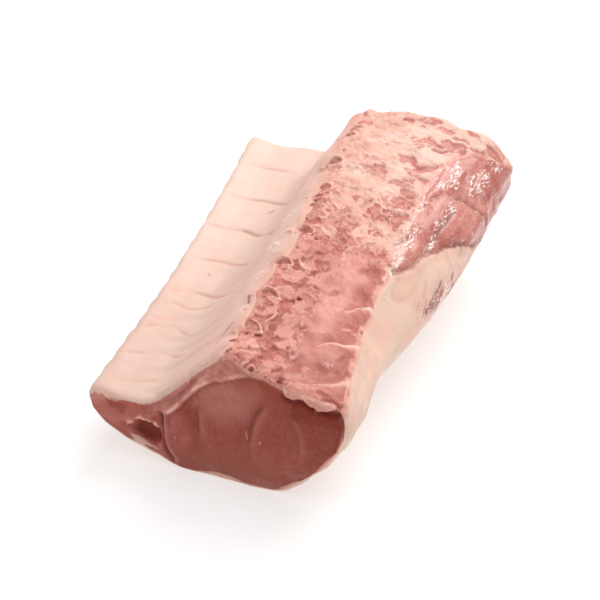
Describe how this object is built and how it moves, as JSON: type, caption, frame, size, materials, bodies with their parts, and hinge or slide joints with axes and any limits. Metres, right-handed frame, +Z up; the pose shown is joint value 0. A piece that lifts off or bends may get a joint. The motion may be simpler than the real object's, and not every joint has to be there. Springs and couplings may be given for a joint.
{
  "type": "rib-on pork loin",
  "caption": "Raw bone-in pork loin lying on its fat side: eye muscle under the sawn backbone, curved rib sheet and thin tail, cut square at both ends.",
  "frame": {"origin": "under the centre of the bounding box, on the surface that the loin rests on", "axes": "+Z up; +Y along the loin, from the near cut face to the far one; +X across it, from the thin tail to the back"},
  "size_m": [0.176, 0.272, 0.1016],
  "materials": {
    "raw_pork": "moist raw meat: pink lean, cream fat and film, pale sawn bone"
  },
  "bodies": {
    "root": {"pork_loin": "raw_pork"}
  },
  "joints": []
}
